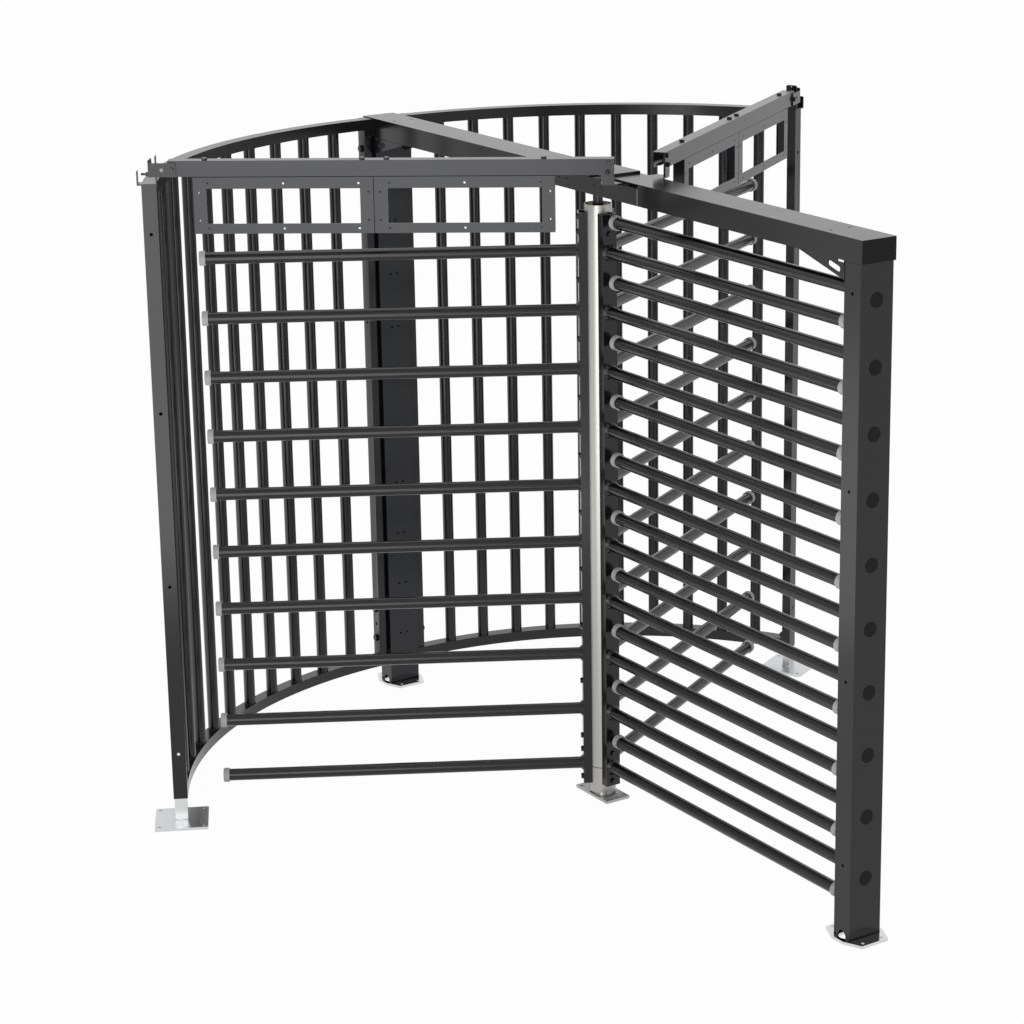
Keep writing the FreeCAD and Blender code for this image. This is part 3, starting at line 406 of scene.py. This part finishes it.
# Lips and strip stop 0.2 mm short of the ends' edges, so that no two faces lie in one plane.
trim = 0.0002
for place, name in ((left_header_place, "left_sign_frame_ends"),
                    (right_header_place, "right_sign_frame_ends")):
    ends = bmesh.new()
    for start in (sign_start, sign_start + sign_length + sign_gap):
        for x, lip in ((start, lip_width), (start + sign_length - sign_sheet, -lip_width)):
            add_block(ends, place, (x, sign_front, sign_bottom), (x + sign_sheet, sign_back, sign_top))
            middle = x + sign_sheet / 2
            add_block(ends, place, (min(middle, middle + lip), lip_front, sign_bottom + trim),
                      (max(middle, middle + lip), sign_back - trim, sign_top - trim))
    strip_start = sign_start + sign_length
    add_block(ends, place, (strip_start, strip_front, sign_bottom + trim),
              (strip_start + sign_gap, strip_back, sign_top - trim))
    folded_ends = finish_piece(name, ends, blue_black, "frame")
    folds = folded_ends.modifiers.new("folded_edges", "BEVEL")
    folds.width = 0.0008
    folds.segments = 2


# Header bolts and screws
# A bolt goes through each header close to its inner end, and the tab below it is held by a button-head
# screw. Both are steel and coated with the frame. The screw's dome catches the lamp as a light spot.
header_depth = 0.045
bolt_along = 0.148
bolt_height = 2.366
bolt_profile = [(0.0088, 0.0), (0.0088, 0.0055), (0.0078, 0.0064)]
screw_place = (0.150, -0.0063, 2.335)
screw_dome = [(0.0002, 0.0052), (0.0030, 0.0049), (0.0055, 0.0038), (0.0072, 0.0020), (0.0078, 0.0)]
header_fixings = bmesh.new()
for place in (left_header_place, right_header_place):
    seat = place @ Matrix.Translation(screw_place) @ Matrix.Rotation(math.pi / 2, 4, "X")
    add_lathe(header_fixings, screw_dome, seat, sides=20)
    for y, turn in ((0.0, math.pi / 2), (header_depth, -math.pi / 2)):
        seat = place @ Matrix.Translation((bolt_along, y, bolt_height)) @ Matrix.Rotation(turn, 4, "X")
        add_lathe(header_fixings, bolt_profile, seat, sides=6)
finish_piece("header_end_fixings", header_fixings, satin_black, "frame", smooth=35)


# Side panel trims
# The removable side panels of the head are folded sheet, screwed to the mechanism plate. Each end of a
# panel stands 4 mm proud and is bevelled back to the beam, so it shows as a thin light line.
def add_prism(mesh, outline, bottom, top):
    """An upright prism over (x, y) points."""
    rings = [[mesh.verts.new((x, y, z)) for x, y in outline] for z in (bottom, top)]
    count = len(outline)
    for k in range(count):
        mesh.faces.new((rings[0][k], rings[0][(k + 1) % count], rings[1][(k + 1) % count], rings[1][k]))
    mesh.faces.new(rings[0][::-1])
    mesh.faces.new(rings[1])


panel_low, panel_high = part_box("head_side_panels")
panel_face = panel_high[1]
trim_start = panel_high[0] - 0.0001
trim_end = panel_high[0] + 0.0035
trim_proud = 0.0043
trim_sink = 0.0005
trim_outline = [(trim_start, panel_face - trim_sink), (trim_start, panel_face + trim_proud),
                (trim_end, panel_face), (trim_end, panel_face - trim_sink)]
trim_bottom = panel_low[2] + 0.0015
trim_top = panel_high[2] - 0.0005
trims = bmesh.new()
for side in (-1, 1):
    for end in (-1, 1):
        add_prism(trims, [(end * x, side * y) for x, y in trim_outline], trim_bottom, trim_top)
finish_piece("side_panel_trims", trims, satin_black, "frame")


# Weld beads
# Steel fillet welds, laid before the frame was coated: round the root of every comb bar, round both ends
# of every cage bar, along the gussets and round the column feet. They show under the coat as soft ridges.
def add_weld_ring(mesh, radius, throat, place):
    """A round bead about the Z axis of its place."""
    facets = 8
    turns = [2 * math.pi * k / facets for k in range(facets)]
    section = [(radius + throat * math.cos(turn), throat * math.sin(turn)) for turn in turns]
    add_lathe(mesh, section, place, sides=32, closed=True)


def add_bead(mesh, start, end, throat):
    """A straight run of weld between two points."""
    run = Vector(end) - Vector(start)
    taper = throat * 0.5
    profile = [(taper, -taper), (throat, 0.0), (throat, run.length), (taper, run.length + taper)]
    add_lathe(mesh, profile, facing(start, run), sides=10)


frame_welds = bmesh.new()
bar_radius = 0.0212
bar_count = 10
column_low, column_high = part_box("front_column")
comb_throat = 0.0025
comb_low, comb_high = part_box("comb_tubes")
comb_first = comb_low[2] + bar_radius
comb_step = (comb_high[2] - comb_low[2] - 2 * bar_radius) / (bar_count - 1)
comb_root = column_low[0] + 0.0002
for k in range(bar_count):
    root = facing((comb_root, 0.0, comb_first + k * comb_step), (1, 0, 0))
    add_weld_ring(frame_welds, bar_radius, comb_throat, root)

# The cage bars stand on an arc round the wings' reach, and each meets a rail at its foot and its head.
weld_stand_off = 0.0005
cage_throat = 0.0022
cage_centre_x = 0.0195
cage_centre_y = 0.0609
cage_radius = 1.4734
cage_first_angle = 173.26
cage_bar_step = 5.573
cage_low, cage_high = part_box("right_cage_bars")
cage_weld_heights = (cage_low[2] + weld_stand_off, cage_high[2] - weld_stand_off)
for side in (-1, 1):
    for k in range(bar_count):
        turn = math.radians(cage_first_angle - cage_bar_step * k)
        x = cage_centre_x + cage_radius * math.cos(turn)
        y = side * (cage_centre_y + cage_radius * math.sin(turn))
        for z in cage_weld_heights:
            add_weld_ring(frame_welds, bar_radius, cage_throat, facing((x, y, z), (0, 0, 1)))

# The gussets' beads run down the column and along the beam, as far as the gusset's notch. A column's foot
# has long beads along its wide faces, and 5 mm ones at the corners of the others, beside the notch there.
# Each long bead is laid twice in one place, once per side. The doubled skin renders as a dark line.
beam_low, beam_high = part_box("overhead_beam")
gusset_low, gusset_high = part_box("beam_gussets")
column_throat = 0.0016
beam_throat = 0.0014
foot_throat = 0.002
gusset_tip_x = 1.205
gusset_notch_x = 1.388
gusset_weld_y = column_high[1] + 0.001
beam_weld_y = beam_high[1] - weld_stand_off
inner_x = column_low[0] - weld_stand_off
outer_x = column_high[0] + weld_stand_off
foot_y = column_high[1] + weld_stand_off
foot_z = 0.0121
long_bead_half = 0.062
short_bead = 0.005
corner_inset = 0.002
for end in (-1, 1):
    for side in (-1, 1):
        add_bead(frame_welds, (end * inner_x, side * gusset_weld_y, gusset_low[2]),
                 (end * inner_x, side * gusset_weld_y, gusset_high[2] - 0.001), column_throat)
        add_bead(frame_welds, (end * gusset_tip_x, side * beam_weld_y, beam_low[2]),
                 (end * gusset_notch_x, side * beam_weld_y, beam_low[2]), beam_throat)
        for x in (inner_x, outer_x):
            start = (end * x, -long_bead_half, foot_z)
            stop = (end * x, long_bead_half, foot_z)
            add_bead(frame_welds, start, stop, foot_throat)
        for x in (inner_x + corner_inset, outer_x - corner_inset - short_bead):
            start = (end * x, side * foot_y, foot_z)
            stop = (end * (x + short_bead), side * foot_y, foot_z)
            add_bead(frame_welds, start, stop, foot_throat)
finish_piece("frame_weld_beads", frame_welds, satin_black, "frame", smooth=60)


# Rotor core
# A stainless steel tube with a short lower sleeve, both brushed along the axis and left bare. The lower
# sleeve is a piece of its own, pushed in under a seam.
def bare_metal(name, colour, roughness, grain=(1.43, 1.43, 167)):
    """Metal with a grain that varies its gloss. The grain gives one mark's size in millimetres along each
    axis. As it stands it makes brush lines: they are really 0.2 mm wide, and drawn coarser to show."""
    gloss_drift = 0.06
    material = new_material(name)
    tree = material.node_tree
    place = add_node(tree, "ShaderNodeTexCoord").outputs["Object"]
    scale = [per_metre(size) for size in grain]
    drawn = add_node(tree, "ShaderNodeMapping", None, {"Vector": place, "Scale": scale})
    marks = add_node(tree, "ShaderNodeTexNoise", None,
                     {"Vector": drawn.outputs[0], "Scale": 1.0, "Detail": 4.0})
    rough = add_node(tree, "ShaderNodeMapRange", None,
                     {"Value": marks.outputs["Fac"],
                      "To Min": roughness - gloss_drift, "To Max": roughness + gloss_drift})
    bump = add_node(tree, "ShaderNodeBump", None,
                    {"Height": marks.outputs["Fac"], "Strength": 0.06, "Distance": 0.0001})
    shader = add_node(tree, "ShaderNodeBsdfPrincipled", None,
                      {"Base Color": linear(colour), "Metallic": 1.0, "Roughness": rough.outputs["Result"],
                       "Normal": bump.outputs["Normal"]})
    add_node(tree, "ShaderNodeOutputMaterial", None, {"Surface": shader.outputs[0]})
    return material


# Brushed stainless steel: warm light grey, and its upright lines stretch what it mirrors into soft bands.
core_steel = bare_metal("brushed_stainless_steel_tube", colour="a7a5a1", roughness=0.36)
dress(["rotor_core", "rotor_lower_sleeve"], core_steel)


# Base plates
# Plates of 10 mm stainless steel, cut by laser and left as rolled. The columns are welded to theirs, and
# the pivot's plate carries the pin that the rotor turns on.

# Rolling marks run along X, 25 mm long. They are really under 0.1 mm wide, and drawn at 1.1 mm to show.
rolled_grain = (25, 1.11, 1.11)

# Bright rolled plate: pale, and clear enough to mirror what stands on it.
plate_steel = bare_metal("bright_stainless_steel_plate", colour="d6d6d6",
                         roughness=0.14, grain=rolled_grain)
dress(["front_column_base_plate", "rear_column_base_plate"], plate_steel)

# Pivot plate: greyer than the column plates, with a broken reflection.
pivot_steel = bare_metal("grey_stainless_steel_plate", colour="a8a8a8",
                         roughness=0.28, grain=rolled_grain)
dress(["pivot_base_plate"], pivot_steel)


# Post feet
# A stub of steel box tube, welded to a square plate and hot-dip galvanised with it. The post slides over
# the stub and leaves its lowest 80 mm in sight.

# Zinc: pale and soft, with a faint cloud where its 17 mm crystals differ in gloss.
zinc_crystal = (16.7, 16.7, 16.7)
zinc_steel = bare_metal("galvanised_steel", colour="d0d1d2", roughness=0.34, grain=zinc_crystal)
dress(["left_post_foot", "right_post_foot"], zinc_steel)

# A bead runs round the foot of each stub, which fits the post's tube with 0.25 mm to spare on each side.
post_x = (post_low[0] + post_high[0]) / 2
post_y = (post_low[1] + post_high[1]) / 2
post_angle = math.radians(117.4)
stub_fit = 0.00025
stub_half = [size / 2 - upright_wall - stub_fit for size in upright_size]
stub_weld_z = 0.0104
stub_throat = 0.0022
foot_welds = bmesh.new()
for side in (-1, 1):
    out = Vector((math.cos(post_angle), side * math.sin(post_angle), 0))
    across = Vector((-math.sin(post_angle), side * math.cos(post_angle), 0))
    middle = Vector((post_x, side * post_y, stub_weld_z))
    corners = [middle + a * stub_half[0] * out + b * stub_half[1] * across
               for a, b in ((1, 1), (-1, 1), (-1, -1), (1, -1))]
    for k in range(4):
        add_bead(foot_welds, corners[k], corners[(k + 1) % 4], stub_throat)
finish_piece("post_foot_welds", foot_welds, zinc_steel, "frame", smooth=60)


# Lock and bearing parts
# They sit inside the head and the core. Plates, housing, pawl pins and solenoid cases are zinc-plated
# steel; plungers, pivot pin and ball bearing are ground; shaft, disc and pawls are turned or cut and
# blackened; the lower bush is bronze, pressed in.

# Zinc plate: flat pale grey with a warm tint and soft reflections.
plated_steel = bare_metal("zinc_plated_steel", colour="b9b9b4", roughness=0.4)
dress(in_slot("zinc_plated_steel"), plated_steel)

# Ground steel: clean and bright, with a narrow highlight along each pin.
ground_steel = bare_metal("ground_steel", colour="bdbdbd", roughness=0.2)
dress(in_slot("ground_steel"), ground_steel)

# Black oxide from a hot salt bath: a thin dull black skin, on which the coat's peel is too faint to show.
blackened_steel = coated_steel("black_oxide_steel", dark="141414", light="1a1a1a", roughness=0.3)
dress(in_slot("black_oxide_steel"), blackened_steel)

# Cast and turned bearing bronze: brown gold, a little dull.
bush_bronze = bare_metal("bearing_bronze", colour="b8925a", roughness=0.35)
dress(["lower_bearing"], bush_bronze)


# End caps and plugs
# Injection-moulded plastic, pushed on or in by hand. Pale grey polythene caps close the bars' free ends,
# and black nylon plugs close the holes in the front column. Discs of the same matt black nylon fill the
# holes in the side panels and the beam's top as painted shade, as dark as the holes' shadowed insides.
def moulded_plastic(name, dark, light, roughness, gloss):
    """Plastic whose tone drifts over 25 mm, with the fine grain of its mould. The grain is really about
    0.2 mm and is drawn at 1.1 mm, so that it shows at all."""
    material = new_material(name)
    tree = material.node_tree
    place = add_node(tree, "ShaderNodeTexCoord").outputs["Object"]
    cloud = add_node(tree, "ShaderNodeTexNoise", None,
                     {"Vector": place, "Scale": per_metre(25), "Detail": 2.0})
    grain = add_node(tree, "ShaderNodeTexNoise", None,
                     {"Vector": place, "Scale": per_metre(1.11), "Detail": 2.0})
    tone = add_node(tree, "ShaderNodeMix", {"data_type": "RGBA"},
                    {"Factor": cloud.outputs["Fac"], "A": linear(dark), "B": linear(light)})
    bump = add_node(tree, "ShaderNodeBump", None,
                    {"Height": grain.outputs["Fac"], "Strength": 0.1, "Distance": 0.0003})
    shader = add_node(tree, "ShaderNodeBsdfPrincipled", None,
                      {"Base Color": tone.outputs["Result"], "Roughness": roughness,
                       "Specular IOR Level": gloss, "Normal": bump.outputs["Normal"]})
    add_node(tree, "ShaderNodeOutputMaterial", None, {"Surface": shader.outputs[0]})
    return material


# Grey polythene: pale and waxy, with one wide dull highlight.
grey_polythene = moulded_plastic("grey_moulded_polythene", dark="a8a8a8", light="b0b0b0",
                                 roughness=0.5, gloss=0.4)
dress(["comb_end_caps", "wing_end_caps"], grey_polythene)

# Black nylon: matt, so it stays darker than the coat round it.
black_nylon = moulded_plastic("black_moulded_nylon", dark="080808", light="0a0a0a",
                              roughness=0.65, gloss=0.2)
dress(["column_plugs"], black_nylon)

# Painted shade: these matt black discs fill the panel and beam holes, standing in for the shade inside
# them.
panel_hole_shade_x = (-0.140, -0.0933, 0.0716, 0.1175)
panel_hole_shade_z = 2.2595
panel_hole_shade_disc = [(0.0039, -0.0010), (0.0039, 0.0004), (0.0034, 0.0008)]
beam_hole_shade_x = 1.318
beam_hole_shade_y = 0.037
beam_hole_shade_disc = [(0.0058, -0.0025), (0.0058, -0.0008), (0.0052, -0.0004)]
plugs = bmesh.new()
for side in (-1, 1):
    for x in panel_hole_shade_x:
        seat = facing((x, side * (panel_face - 0.0005), panel_hole_shade_z), (0, side, 0))
        add_lathe(plugs, panel_hole_shade_disc, seat, sides=20)
for x in (-beam_hole_shade_x, beam_hole_shade_x):
    for y in (-beam_hole_shade_y, beam_hole_shade_y):
        add_lathe(plugs, beam_hole_shade_disc, Matrix.Translation((x, y, beam_high[2])), sides=20)
finish_piece("head_and_beam_hole_shade_discs", plugs, black_nylon, "frame", smooth=30)


# Beam end covers, shade line and seam ring
# A cover moulded in black nylon is pushed onto each end of the beam. A thin matt black bead under the
# beam's
# edge round both columns is painted shade: it draws the shadow line where the beam stands proud of the
# column.
# A nylon ring fills the seam between core and lower sleeve, and turns with them. All three are matt and
# look darker than the coat.
cover_inner = beam_high[0] - 0.0002
cover_outer = beam_high[0] + 0.0014
cover_half = 0.0652
cover_bottom = beam_low[2] + 0.0005
cover_top = beam_high[2] - 0.0008
# The bead below is painted shade: a matt black line under the beam's edge, where its shadow falls.
shade_line_radius = 0.0013
shade_line_start = column_low[0] + 0.0005
shade_line_end = column_high[0] + 0.0015
shade_line_y = column_high[1] + 0.001
shade_line_z = beam_low[2] - 0.0004
covers = bmesh.new()
for end in (-1, 1):
    near, far = sorted((end * cover_inner, end * cover_outer))
    add_block(covers, Matrix(), (near, -cover_half, cover_bottom), (far, cover_half, cover_top))
    for side in (-1, 1):
        start = (end * shade_line_start, side * shade_line_y, shade_line_z)
        stop = (end * shade_line_end, side * shade_line_y, shade_line_z)
        add_bead(covers, start, stop, shade_line_radius)
    start = (end * shade_line_end, -foot_y, shade_line_z)
    stop = (end * shade_line_end, foot_y, shade_line_z)
    add_bead(covers, start, stop, shade_line_radius)
finish_piece("beam_end_covers", covers, black_nylon, "frame")

core_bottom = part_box("rotor_core")[0][2]
ring_profile = [(0.0478, -0.0014), (0.0485, -0.0011), (0.0485, 0.0011), (0.0478, 0.0014)]
ring = bmesh.new()
add_lathe(ring, ring_profile, Matrix.Translation((0, 0, core_bottom)), sides=48)
finish_piece("core_seam_ring", ring, black_nylon, "rotor", smooth=30)


# Closing
# Plain display colours keep the white paper white.
bpy.context.scene.view_settings.view_transform = "Standard"
